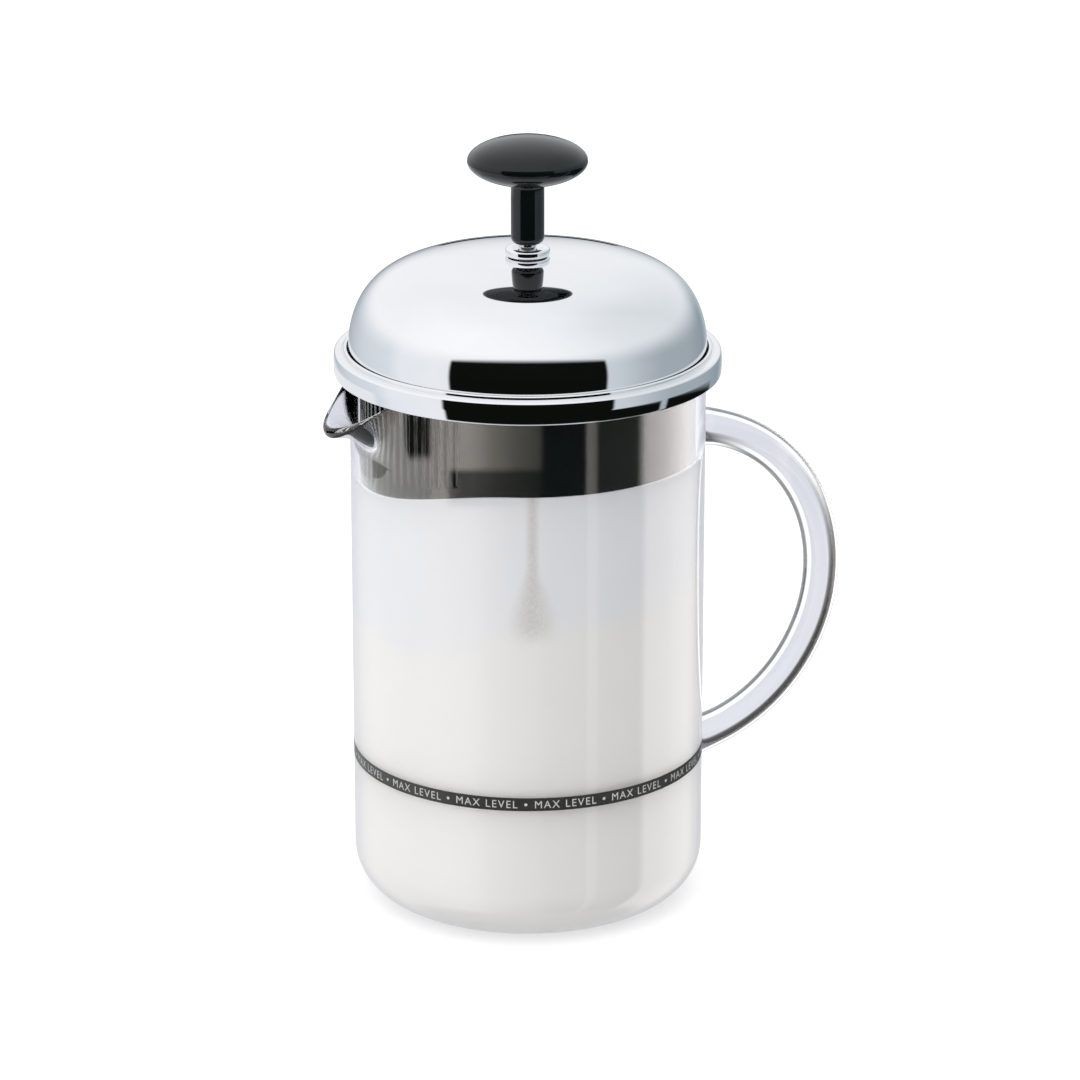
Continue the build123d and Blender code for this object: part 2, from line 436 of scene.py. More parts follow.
def apply_modifier(piece, name):
    bpy.context.view_layer.objects.active = piece
    bpy.ops.object.modifier_apply(modifier=name)


# ---------------------------------------------------------------- beaker with its handle

SPOUT_START = 130.0 * MM
SPOUT_TIP_Z = 138.0 * MM
SPOUT_HALF_ANGLE = math.radians(23)


def spout_curve(u):
    """The wall's outer line at the middle of the spout: up the wall, then out and slightly over."""
    a = Vector((GLASS_R, SPOUT_START))
    b = Vector((GLASS_R, SPOUT_START + 4.6 * MM))
    c = Vector((GLASS_R + 4.2 * MM, SPOUT_TIP_Z - 0.2 * MM))
    d = Vector((SPOUT_R - 1.0 * MM, SPOUT_TIP_Z - 0.6 * MM))
    point = a * (1 - u) ** 3 + b * 3 * u * (1 - u) ** 2 + c * 3 * u * u * (1 - u) + d * u**3
    along = (b - a) * 3 * (1 - u) ** 2 + (c - b) * 6 * u * (1 - u) + (d - c) * 3 * u * u
    along.normalize()
    return point, Vector((-along.y, along.x))


def bend_spout(r, a, z):
    """Carries a point of the plain beaker to its place on the spout."""
    x, y = r * math.cos(a), r * math.sin(a)
    away = abs(abs(a) - math.pi)
    if z <= SPOUT_START or away >= SPOUT_HALF_ANGLE:
        return x, y, z
    share = math.cos(math.pi / 2 * away / SPOUT_HALF_ANGLE) ** 2
    u = min((z - SPOUT_START) / (GLASS_H - SPOUT_START), 1.0)
    point, inward = spout_curve(u)
    depth = (GLASS_R - r) * (1 + 0.35 * share * u)
    moved = point + inward * depth
    new_r = r * (1 - share) + moved.x * share
    new_z = z * (1 - share) + moved.y * share
    return new_r * math.cos(a), new_r * math.sin(a), new_z


def beaker_outline():
    """The beaker's section: from the middle of the base, up the wall, over the lip and back inside."""
    inner_r = GLASS_R - WALL
    inner_corner = CORNER - WALL
    points = [Vector((0, 0))]
    points += [Vector((GLASS_R - CORNER, 0)) * t for t in (0.25, 0.5, 0.75)]
    points += arc(GLASS_R - CORNER, CORNER, CORNER, -90, 0, 20)
    for k in range(1, 24):
        points.append(Vector((GLASS_R, CORNER + (SPOUT_START - CORNER) * k / 24)))
    lip = WALL / 2
    rise = GLASS_H - lip - SPOUT_START
    for k in range(32):
        points.append(Vector((GLASS_R, SPOUT_START + rise * k / 32)))
    points += arc(GLASS_R - lip, GLASS_H - lip, lip, 0, 180, 12)
    for k in range(31, -1, -1):
        points.append(Vector((inner_r, SPOUT_START + rise * k / 32)))
    for k in range(23, 0, -1):
        points.append(Vector((inner_r, CORNER + (SPOUT_START - CORNER) * k / 24)))
    points += arc(inner_r - inner_corner, FLOOR + inner_corner, inner_corner, 0, -90, 20)
    points += [Vector(((inner_r - inner_corner) * t, FLOOR)) for t in (0.75, 0.5, 0.25, 0)]
    return points


def tube_along(name, centres, radii, material, sides=32):
    """A capped tube through centres, with its own radius at each one; the path lies in the XZ plane."""
    bm = bmesh.new()
    rows = []
    for i, (centre, radius) in enumerate(zip(centres, radii)):
        before = centres[max(i - 1, 0)]
        after = centres[min(i + 1, len(centres) - 1)]
        along = (after - before).normalized()
        side = Vector((0, 1, 0))
        up = along.cross(side)
        ring = []
        for k in range(sides):
            a = 2 * math.pi * k / sides
            ring.append(bm.verts.new(centre + (side * math.cos(a) + up * math.sin(a)) * radius))
        rows.append(ring)
    for low, high in zip(rows, rows[1:]):
        for k in range(sides):
            j = (k + 1) % sides
            bm.faces.new((low[k], low[j], high[j], high[k]))
    bm.faces.new(rows[0])
    bm.faces.new(rows[-1])
    bmesh.ops.recalc_face_normals(bm, faces=bm.faces)
    return mesh_object(name, bm, material)


def make_handle_rod():
    """The glass rod, a half circle whose ends swell where they are fused to the wall."""
    rod_radius = handle_high.y
    centre_z = (handle_low.z + handle_high.z) / 2
    bend_radius = (handle_high.z - handle_low.z) / 2 - rod_radius
    centre_x = handle_high.x - rod_radius - bend_radius
    steps = 96
    swell = 1.9 * MM
    reach = 3.2 * MM
    start_x = GLASS_R - 1.3 * MM
    centres = []
    radii = []
    for k in range(steps + 1):
        a = math.pi * (0.5 - k / steps)
        x = centre_x + bend_radius * math.cos(a)
        z = centre_z + bend_radius * math.sin(a)
        if x < start_x:
            continue
        centres.append(Vector((x, 0, z)))
        from_wall = max(x - GLASS_R, 0)
        radii.append(rod_radius + swell * math.exp(-from_wall / reach))
    return tube_along("handle_rod", centres, radii, glass, 40)


def make_beaker():
    beaker = lathe("beaker_glass", beaker_outline(), glass, 320, closed=False, bend=bend_spout)
    rod = make_handle_rod()
    joined = beaker.modifiers.new("fuse", "BOOLEAN")
    joined.operation = "UNION"
    joined.solver = "EXACT"
    joined.object = rod
    apply_modifier(beaker, "fuse")
    bpy.data.objects.remove(rod)
    beaker.data.shade_smooth()
    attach(beaker, "beaker")
    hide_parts("beaker", "glass_handle")


make_beaker()

# ---------------------------------------------------------------- printed level band

BAND_LOW = 40.3 * MM
BAND_HIGH = 44.0 * MM
BAND_OUT = 0.04 * MM
LETTER_OUT = 0.07 * MM
LETTER_HEIGHT = 2.1 * MM
WORDS = "MAX LEVEL"
WORD_COUNT = 14
DOT_RADIUS = 0.42 * MM
DOT_SIDES = 14


def wrap_on_glass(mesh, radius, start_angle, middle):
    """Bends a flat mesh in the XY plane round the beaker."""
    for v in mesh.vertices:
        a = start_angle + v.co.x / radius
        out = radius + v.co.z
        v.co = Vector((out * math.cos(a), out * math.sin(a), middle + v.co.y))


def make_level_band():
    """The printed ring that the words stand on."""
    r = GLASS_R
    corners = [
        (r, BAND_LOW, 0),
        (r + BAND_OUT, BAND_LOW, 0),
        (r + BAND_OUT, BAND_HIGH, 0),
        (r, BAND_HIGH, 0),
    ]
    band = lathe("level_band", rounded(corners), band_ink, 256, smooth_angle=30)
    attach(band, "beaker")


def make_letters():
    """The words and the dots between them, all round the band."""
    text = bpy.data.curves.new("letters", "FONT")
    text.body = WORDS
    text.size = LETTER_HEIGHT * 1.38
    text.space_character = 1.22
    text.align_x = "CENTER"
    text.resolution_u = 4
    source = bpy.data.objects.new("letters", text)
    scene.collection.objects.link(source)
    depsgraph = bpy.context.evaluated_depsgraph_get()
    flat = bpy.data.meshes.new_from_object(source.evaluated_get(depsgraph))
    bpy.data.objects.remove(source)
    low = min(v.co.y for v in flat.vertices)
    high = max(v.co.y for v in flat.vertices)
    bm = bmesh.new()
    middle = (BAND_LOW + BAND_HIGH) / 2
    for i in range(WORD_COUNT):
        turn = 2 * math.pi * i / WORD_COUNT
        copy = flat.copy()
        for v in copy.vertices:
            v.co.y = (v.co.y - (low + high) / 2) * LETTER_HEIGHT / (high - low)
            v.co.z = LETTER_OUT
        wrap_on_glass(copy, GLASS_R, turn, middle)
        bm.from_mesh(copy)
        bpy.data.meshes.remove(copy)
        dot_angle = turn + math.pi / WORD_COUNT
        mark = []
        for k in range(DOT_SIDES):
            a = 2 * math.pi * k / DOT_SIDES
            place = dot_angle + DOT_RADIUS * math.cos(a) / GLASS_R
            out = GLASS_R + LETTER_OUT
            height = middle + DOT_RADIUS * math.sin(a)
            mark.append(bm.verts.new((out * math.cos(place), out * math.sin(place), height)))
        bm.faces.new(mark)
    letters = mesh_object("level_letters", bm, letter_ink)
    letters.data.shade_flat()
    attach(letters, "beaker")


make_level_band()
make_letters()

# ---------------------------------------------------------------- lid

SKIRT_R = 45.3 * MM
SKIRT_WALL = 1.6 * MM
SKIRT_DIP = 6.2 * MM
SKIRT_EDGE = skirt_low.z + SKIRT_DIP
DIP_HALF_ANGLE = math.radians(60)
SLOT_COUNT = 25
SLOT_PITCH = math.radians(3.4)
SLOT_WIDTH = 1.3 * MM
SLOT_LOW = 130.3 * MM
SLOT_HIGH = 148.6 * MM
DOME_FOOT = 156.1 * MM
DOME_SHEET = 1.0 * MM
DOME_SHOULDER = 179.4 * MM
CROWN = 1.2 * MM
CROWN_SPREAD = 24.0 * MM
BUSH_HOLE = 4.3 * MM
SQUARENESS = 0.40


def dome_line(radius, drop, hole, steps=44):
    """The dome's outline from its foot to the hole in the middle."""
    rise = DOME_SHOULDER - drop - DOME_FOOT
    points = []
    for k in range(steps + 1):
        t = math.pi / 2 * (1 - (1 - k / steps) ** 1.9)
        r = radius * max(math.cos(t), 1e-9) ** SQUARENESS
        if r < hole:
            break
        crown = CROWN * math.exp(-((r / CROWN_SPREAD) ** 2))
        points.append(Vector((r, DOME_FOOT + rise * math.sin(t) + crown)))
    last = points[-1]
    flat_steps = 12
    for k in range(1, flat_steps + 1):
        r = last.x + (hole - last.x) * k / flat_steps
        crown = CROWN * math.exp(-((r / CROWN_SPREAD) ** 2))
        points.append(Vector((r, DOME_FOOT + rise + crown)))
    return points


def make_dome():
    radius = dome_high.y
    hole = BUSH_HOLE
    outer = dome_line(radius, 0, hole)
    inner = dome_line(radius - DOME_SHEET, DOME_SHEET, hole)
    points = [Vector((radius, dome_low.z + 0.3 * MM)), Vector((radius, (dome_low.z + DOME_FOOT) / 2))]
    points += outer + inner[::-1]
    points += [Vector((radius - DOME_SHEET, dome_low.z + 0.3 * MM))]
    points += [Vector((radius - DOME_SHEET * 0.5, dome_low.z))]
    dome = lathe("dome_shell", points, chrome, 320, smooth_angle=50)
    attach(dome, "lid")
    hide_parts("lid_dome")


def make_rim():
    """The chrome channel ring, with a rounded shoulder and a bead next to the dome."""
    out = rim_high.y
    low = rim_low.z
    top = rim_high.z - 0.8 * MM
    web = out - 1.3 * MM
    bore = dome_high.y + 0.4 * MM
    ledge = GLASS_H + 0.2 * MM
    sheet = 1.2 * MM
    barrel = 0.15 * MM
    corners = [
        (out - barrel, low, 0.5 * MM),
        (out, (low + top) / 2, 6 * MM),
        (out - barrel, top, 1.3 * MM),
        (bore + 1.5 * MM, top - 0.05 * MM, 0.12 * MM),
        (bore + 1.25 * MM, top - 0.45 * MM, 0.12 * MM),
        (bore + 1.05 * MM, top - 0.45 * MM, 0.12 * MM),
        (bore + 0.95 * MM, top + 0.8 * MM, 0.45 * MM),
        (bore, top + 0.8 * MM, 0.4 * MM),
        (bore, top - sheet, 0.1 * MM),
        (web, top - sheet, 0.1 * MM),
        (web, ledge + sheet, 0.1 * MM),
        (SKIRT_R + 0.9 * MM, ledge + sheet, 0.3 * MM),
        (SKIRT_R + 0.9 * MM, ledge, 0.3 * MM),
        (web, ledge, 0.1 * MM),
        (web, low, 0.3 * MM),
    ]
    rim = lathe("rim_ring", rounded(corners, 6), chrome, 320, smooth_angle=55)
    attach(rim, "lid_ring")
    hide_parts("lid_rim")


def make_ferrule():
    out = ferrule_high.y
    low = ferrule_low.z
    high = ferrule_high.z
    bore = ROD_R + 0.2 * MM
    corners = [
        (out, low + 0.1 * MM, 0.9 * MM),
        (out, high, 1.2 * MM),
        (bore + 1.6 * MM, high, 0.5 * MM),
        (bore + 0.5 * MM, high - 0.7 * MM, 0.2 * MM),
        (bore, high - 0.7 * MM, 0.15 * MM),
        (bore, low + 1.0 * MM, 0.1 * MM),
        (bore + 1.75 * MM, low + 1.0 * MM, 0.1 * MM),
        (bore + 1.75 * MM, low + 0.1 * MM, 0.1 * MM),
    ]
    ferrule = lathe("ferrule_ring", rounded(corners, 6), chrome, 128, smooth_angle=50)
    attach(ferrule, "lid")
    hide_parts("dome_ferrule")


def dip_depth(a):
    """How far the skirt's lower edge dips at a polar angle; it is deepest at the spout."""
    share = min(abs(a % (2 * math.pi) - math.pi) / DIP_HALF_ANGLE, 1)
    return SKIRT_DIP * math.cos(math.pi / 2 * share) ** 2


def make_skirt_wall():
    """The slotted wall: one sheet with the slots left out, then given its thickness."""
    middle = SKIRT_R - SKIRT_WALL / 2
    half_slot = SLOT_WIDTH / 2 / middle
    first = math.pi - SLOT_PITCH * (SLOT_COUNT - 1) / 2
    angles = []
    open_after = set()
    for i in range(SLOT_COUNT):
        centre = first + i * SLOT_PITCH
        open_after.add(len(angles))
        angles += [centre - half_slot, centre + half_slot]
        angles += [centre + half_slot + (SLOT_PITCH - 2 * half_slot) * 0.5]
    start = angles[-1]
    rest = 2 * math.pi - (start - angles[0])
    plain = 200
    angles += [start + rest * k / plain for k in range(1, plain)]
    heights = [SKIRT_EDGE, SLOT_LOW]
    heights += [SLOT_LOW + (SLOT_HIGH - SLOT_LOW) * k / 6 for k in range(1, 7)]
    heights.append(skirt_high.z - 1.5 * MM)
    bm = bmesh.new()
    rows = []
    for z in heights:
        share = min(max((SLOT_HIGH - z) / (SLOT_HIGH - SLOT_LOW), 0), 1)
        row = []
        for a in angles:
            dipped = z - share * dip_depth(a)
            row.append(bm.verts.new((middle * math.cos(a), middle * math.sin(a), dipped)))
        rows.append(row)
    for level, (low, high) in enumerate(zip(rows, rows[1:])):
        in_slots = SLOT_LOW - 1e-9 < heights[level] < SLOT_HIGH - 1e-9
        for i in range(len(angles)):
            if in_slots and i in open_after:
                continue
            j = (i + 1) % len(angles)
            bm.faces.new((low[i], low[j], high[j], high[i]))
    wall = mesh_object("skirt_wall", bm, black)
    thick = wall.modifiers.new("thickness", "SOLIDIFY")
    thick.thickness = SKIRT_WALL
    thick.offset = 0
    edge = wall.modifiers.new("edges", "BEVEL")
    edge.width = 0.22 * MM
    edge.segments = 2
    edge.limit_method = "ANGLE"
    edge.angle_limit = math.radians(40)
    apply_modifier(wall, "thickness")
    apply_modifier(wall, "edges")
    wall.data.set_sharp_from_angle(angle=math.radians(22))
    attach(wall, "lid")
    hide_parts("strainer_skirt")


def make_skirt_flange():
    inner = SKIRT_R - SKIRT_WALL
    top = skirt_high.z
    low = top - 1.5 * MM
    corners = [
        (inner, low, 0.1 * MM),
        (skirt_high.y, low, 0.3 * MM),
        (skirt_high.y, top, 0.3 * MM),
        (inner, top, 0.4 * MM),
    ]
    flange = lathe("skirt_flange", rounded(corners), black, 192, smooth_angle=50)
    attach(flange, "lid")
    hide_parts("strainer_skirt")


make_dome()
make_rim()
make_ferrule()
make_skirt_wall()
make_skirt_flange()

# ---------------------------------------------------------------- knob

KNOB_POINT = 1.08
KNOB_GROOVE = 0.12 * MM
STEM_R = 4.5 * MM
NECK_ROUND = 1.2 * MM
STEM_ROUND = 1.9 * MM
ROD_SOCKET = 2.5 * MM


def knob_line(radius, seam, pole, steps=28):
    """The knob's outline from its edge to a pole."""
    points = []
    for k in range(steps + 1):
        t = math.pi / 2 * k / steps
        r = radius * max(math.cos(t), 0) ** KNOB_POINT
        points.append(Vector((r, seam + (pole - seam) * math.sin(t))))
    return points


def make_knob():
    """The cap, then the base with its stem, which meet in a fine groove at the knob's edge."""
    seam = base_high.z
    radius = cap_high.y
    land = radius - 0.5 * MM
    upper = seam + KNOB_GROOVE / 2
    top = knob_line(radius, upper, cap_high.z)
    top[-1] = Vector((0, cap_high.z))
    points = [Vector((0, upper)), Vector((land, upper))] + top
    cap = lathe("knob_top", points, black, 192, closed=False, smooth_angle=60)
    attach(cap, "plunger")
    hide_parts("knob_cap")

    lower = seam - KNOB_GROOVE / 2
    under = knob_line(radius, lower, 2 * seam - cap_high.z)
    under = [p for p in under if p.x > STEM_R + NECK_ROUND]
    neck_z = under[-1].y
    low = base_low.z
    points = [Vector((0, lower)), Vector((land, lower))] + under
    points += arc(STEM_R + NECK_ROUND, neck_z - NECK_ROUND, NECK_ROUND, 90, 180, 6)[1:]
    points += [Vector((STEM_R, neck_z - (neck_z - low - 2 * MM) * k / 8)) for k in range(2, 8)]
    points += arc(STEM_R - STEM_ROUND, low + STEM_ROUND, STEM_ROUND, 0, -90, 8)
    socket_r = ROD_R + 0.1 * MM
    points += [Vector((socket_r, low)), Vector((socket_r, low + ROD_SOCKET)), Vector((0, low + ROD_SOCKET))]
    base = lathe("knob_stem", points, black, 192, closed=False, smooth_angle=60)
    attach(base, "plunger")
    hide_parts("knob_base")


make_knob()

# ---------------------------------------------------------------- plunger


def make_rod():
    low = rod_low.z
    high = rod_high.z
    corners = [(0, low, 0), (ROD_R, low, 0.5 * MM), (ROD_R, high, 0.5 * MM), (0, high, 0)]
    rod = lathe("rod", rounded(corners), steel_rod, 64, closed=False, smooth_angle=50)
    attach(rod, "plunger")
    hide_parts("plunger_rod")


def make_edge_spring():
    """The wire coil round the rim of the plunger head."""
    path_radius = (spring_high.y - spring_low.y) / 2 - (spring_high.z - spring_low.z) / 2
    coil_radius = (spring_high.z - spring_low.z) / 2
    level = (spring_high.z + spring_low.z) / 2
    wire = 0.3 * MM
    turns = 110
    per_turn = 14
    sides = 6
    total = turns * per_turn
    centres = []
    for i in range(total):
        t = 2 * math.pi * i / total
        c = 2 * math.pi * i / per_turn
        r = path_radius + (coil_radius - wire) * math.cos(c)
        z = level + (coil_radius - wire) * math.sin(c)
        centres.append(Vector((r * math.cos(t), r * math.sin(t), z)))
    bm = bmesh.new()
    rows = []
    for i, centre in enumerate(centres):
        along = (centres[(i + 1) % total] - centres[i - 1]).normalized()
        t = 2 * math.pi * i / total
        spine = Vector((path_radius * math.cos(t), path_radius * math.sin(t), level))
        out = (centre - spine).normalized()
        side = along.cross(out).normalized()
        out = side.cross(along)
        ring = []
        for k in range(sides):
            a = 2 * math.pi * k / sides
            ring.append(bm.verts.new(centre + (out * math.cos(a) + side * math.sin(a)) * wire))
        rows.append(ring)
    for i in range(total):
        low, high = rows[i], rows[(i + 1) % total]
        for k in range(sides):
            j = (k + 1) % sides
            bm.faces.new((low[k], low[j], high[j], high[k]))
    bmesh.ops.recalc_face_normals(bm, faces=bm.faces)
    spring = mesh_object("coil_spring", bm, steel_wire)
    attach(spring, "plunger")
    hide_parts("edge_spring")


def make_screen(name, node):
    """A woven disc: round wires that pass over and under each other."""
    low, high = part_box(node)
    level = (low.z + high.z) / 2
    radius = high.y
    pitch = 1.3 * MM
    wire = 0.11 * MM
    lift = 0.09 * MM
    hole = ROD_R + 0.2 * MM
    count = int(radius / pitch)
    bm = bmesh.new()
    for along_x in (True, False):
        for n in range(-count, count + 1):
            offset = n * pitch
            reach = math.sqrt(max(radius**2 - offset**2, 0))
            if reach < pitch:
                continue
            spans = [(-reach, reach)]
            if abs(offset) < hole:
                gap = math.sqrt(hole**2 - offset**2)
                spans = [(-reach, -gap), (gap, reach)]
            for begin, end in spans:
                steps = max(int((end - begin) / pitch * 2), 2)
                previous = None
                for k in range(steps + 1):
                    s = begin + (end - begin) * k / steps
                    wave = math.cos(math.pi * (s / pitch + n)) * lift
                    z = level + (wave if along_x else -wave)
                    ring = []
                    for corner in range(4):
                        a = math.pi / 2 * corner
                        across = offset + wire * math.cos(a)
                        up = z + wire * math.sin(a)
                        place = (s, across, up) if along_x else (across, s, up)
                        ring.append(bm.verts.new(place))
                    if previous:
                        for corner in range(4):
                            j = (corner + 1) % 4
                            bm.faces.new((previous[corner], previous[j], ring[j], ring[corner]))
                    else:
                        bm.faces.new(ring)
                    previous = ring
                bm.faces.new(previous)
    bmesh.ops.recalc_face_normals(bm, faces=bm.faces)
    screen = mesh_object(name, bm, steel_wire)
    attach(screen, "plunger")
    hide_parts(node)


make_rod()
make_edge_spring()
make_screen("mesh_upper", "upper_screen")
make_screen("mesh_lower", "lower_screen")

# ---------------------------------------------------------------- carried-over CAD pieces


def finish_node(node, material):
    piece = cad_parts[node]
    piece.data.materials.clear()
    piece.data.materials.append(material)
    piece.data.set_sharp_from_angle(angle=math.radians(35))


for node in ("spring_plate", "cross_plate"):
    finish_node(node, steel_sheet)
for node in ("rod_collar", "hub_nut", "screen_spacer", "bush_washer", "bush_nut"):
    finish_node(node, steel_turned)
finish_node("knob_insert", brass)
finish_node("guide_bush", nylon)

# ---------------------------------------------------------------- milk, a prop beside the object

MILK_TOP = 127.9 * MM
FOAM_LINE = 89.0 * MM
MILK_SPREAD = 0.08 * MM
FOAM_SLOPE = 0.2
STREAK_TOP = 110 * MM
STREAK_END = 92 * MM
STREAK_ASIDE = 1.2 * MM


def milk_material():
    """Cream-white milk below, cooler foam above with a wavy boundary, and a painted shade of the rod in the
    foam.
    """
    material, tree = new_material("milk_and_foam")
    body = add(tree, "ShaderNodeBsdfPrincipled")
    place = tree.nodes.new("ShaderNodeTexCoord").outputs["Object"]
    across = dot(tree, place, around(CAMERA_AZIMUTH + 90, 1, 0))
    height = dot(tree, place, (0, 0, 1))
    waves = spread(tree, noise(tree, 26, 3, 0.5, (1, 1, 1.4)), "Fac", -11 * MM, 11 * MM).outputs[0]
    level = math_node(tree, "ADD", height, waves)
    level = math_node(tree, "SUBTRACT", level, math_node(tree, "MULTIPLY", across, FOAM_SLOPE))
    foam = step(tree, level, FOAM_LINE - 5 * MM, FOAM_LINE + 5 * MM)
    cloud = noise(tree, 34, 4, 0.55, (1, 1, 0.6)).outputs["Fac"]
    milk = blend_colors(tree, cloud, (0.885, 0.868, 0.846), (0.900, 0.885, 0.868))
    froth = blend_colors(tree, cloud, (0.825, 0.822, 0.842), (0.895, 0.890, 0.905))
    color = blend_colors(tree, foam, milk, froth)

    # Painted shade: a darker, mottled streak in the foam along the rod, a little to the camera's right of the
    # axis. It is wider towards its lower end and fades out between 93 and 85 mm up.
    taper = math_node(tree, "MULTIPLY", step(tree, height, STREAK_TOP, STREAK_END), 4.5 * MM)
    width = math_node(tree, "ADD", taper, 2.0 * MM)
    away = math_node(tree, "ABSOLUTE", math_node(tree, "SUBTRACT", across, STREAK_ASIDE))
    shade = step(tree, math_node(tree, "DIVIDE", away, width), 1.2, 0.0)
    shade = math_node(tree, "MULTIPLY", shade, step(tree, height, 85 * MM, 93 * MM))
    shade_mottle = spread(tree, noise(tree, 1400, 3, 0.7), "Fac", 0.05, 1.0).outputs[0]
    shade = math_node(tree, "MULTIPLY", shade, shade_mottle)
    color = blend_colors(tree, shade, color, (0.56, 0.53, 0.48))
    tree.links.new(color, body.inputs["Base Color"])
    body.inputs["Roughness"].default_value = 0.45
    body.inputs["Subsurface Weight"].default_value = 0.25
    body.inputs["Subsurface Radius"].default_value = (3 * MM, 2.8 * MM, 2.6 * MM)
    body.inputs["Subsurface Scale"].default_value = 1.0
    body.inputs["Specular IOR Level"].default_value = 0.2
    surface(tree, body.outputs[0])
    return material


def make_milk():
    """The milk up to the skirt's edge, whose dip it follows."""
    inner_r = GLASS_R - WALL + MILK_SPREAD

    def follow_dip(r, a, z):
        share = max((z - FOAM_LINE) / (MILK_TOP - FOAM_LINE), 0) * r / inner_r
        return r * math.cos(a), r * math.sin(a), z - share * dip_depth(a)

    corner = CORNER - WALL
    low = FLOOR - MILK_SPREAD
    points = [Vector((0, low))]
    points += arc(inner_r - corner, low + corner, corner, -90, 0, 20)
    points += [Vector((inner_r, low + corner + (MILK_TOP - low - corner) * k / 20)) for k in range(1, 20)]
    points += [Vector((inner_r, MILK_TOP - 0.8 * MM)), Vector((inner_r - 1.0 * MM, MILK_TOP))]
    points += [Vector((inner_r * t, MILK_TOP + 0.5 * MM)) for t in (0.8, 0.6, 0.4, 0.2)]
    points += [Vector((0, MILK_TOP + 0.5 * MM))]
    milk = lathe("milk", points, milk_material(), 240, closed=False, bend=follow_dip)


make_milk()

# ---------------------------------------------------------------- floor, lamps and surroundings


def floor_material():
    material, tree = new_material("pale_floor")
    body = add(tree, "ShaderNodeBsdfPrincipled")
    mottle = noise(tree, 1.5, 2)
    tint = ramp(tree, mottle, "Fac", [(0.3, (0.73, 0.73, 0.73)), (0.7, (0.75, 0.75, 0.75))])
    link(tree, tint, "Color", body, "Base Color")
    body.inputs["Emission Color"].default_value = (1, 1, 1, 1)
    body.inputs["Emission Strength"].default_value = 0.32
    body.inputs["Roughness"].default_value = 0.8
    body.inputs["Specular IOR Level"].default_value = 0.0
    surface(tree, body.outputs[0])
    return material


def make_floor():
    bm = bmesh.new()
    bmesh.ops.create_grid(bm, x_segments=4, y_segments=4, size=12)
    floor = mesh_object("floor", bm, floor_material())
    floor.visible_glossy = False
    floor.visible_transmission = False


def area_light(name, azimuth, distance, height, width, tall, power):
    """A soft rectangular lamp, its azimuth measured from the camera's side, aimed at the beaker's middle."""
    data = bpy.data.lights.new(name, "AREA")
    data.shape = "RECTANGLE"
    data.size = width
    data.size_y = tall
    data.energy = power
    lamp = bpy.data.objects.new(name, data)
    scene.collection.objects.link(lamp)
    lamp.location = around(CAMERA_AZIMUTH + azimuth, distance, height)
    middle = Vector((0, 0, GLASS_H * 0.7))
    lamp.rotation_euler = (middle - lamp.location).to_track_quat("-Z", "Y").to_euler()
    lamp.visible_camera = False
    lamp.visible_glossy = False


# Surroundings: (degrees round from the camera's side, + to its right, and the colour there)
CHROME_LOW = [
    (-180, (0.20, 0.22, 0.25)),
    (-170, (0.38, 0.42, 0.47)),
    (-150, (0.54, 0.59, 0.63)),
    (-130, (0.67, 0.71, 0.76)),
    (-100, (0.73, 0.77, 0.82)),
    (-88, (0.88, 0.90, 0.94)),
    (-60, (0.90, 0.91, 0.94)),
    (60, (0.60, 0.65, 0.70)),
    (80, (0.46, 0.50, 0.55)),
    (95, (0.38, 0.43, 0.47)),
    (122, (0.37, 0.42, 0.46)),
    (152, (0.28, 0.34, 0.39)),
    (170, (0.52, 0.58, 0.61)),
    (180, (0.20, 0.22, 0.25)),
]
CHROME_HIGH = [
    (-180, (0.94, 0.95, 0.97)),
    (-110, (1.00, 1.00, 1.02)),
    (-50, (1.05, 1.05, 1.07)),
    (20, (0.98, 0.99, 1.01)),
    (70, (0.84, 0.86, 0.89)),
    (120, (0.76, 0.79, 0.82)),
    (180, (0.94, 0.95, 0.97)),
]
GLASS_RING = [
    (-180, (0.70, 0.70, 0.78)),
    (-150, (0.80, 0.80, 0.88)),
    (-120, (1.60, 1.60, 1.58)),
    (-72, (2.10, 2.05, 1.98)),
    (-64, (2.40, 2.22, 2.08)),
    (-38, (2.40, 2.22, 2.08)),
    (-24, (1.35, 1.24, 1.12)),
    (-8, (0.70, 0.66, 0.58)),
    (7, (0.42, 0.40, 0.34)),
    (11, (0.03, 0.03, 0.03)),
    (38, (0.03, 0.03, 0.03)),
    (39, (1.05, 0.98, 0.90)),
    (45, (0.95, 0.88, 0.82)),
    (47, (0.10, 0.10, 0.09)),
    (78, (0.12, 0.12, 0.11)),
    (84, (2.75, 2.62, 2.54)),
    (112, (2.80, 2.68, 2.62)),
    (128, (2.30, 2.24, 2.20)),
    (142, (1.20, 1.20, 1.24)),
    (155, (0.70, 0.70, 0.78)),
    (180, (0.70, 0.70, 0.78)),
]
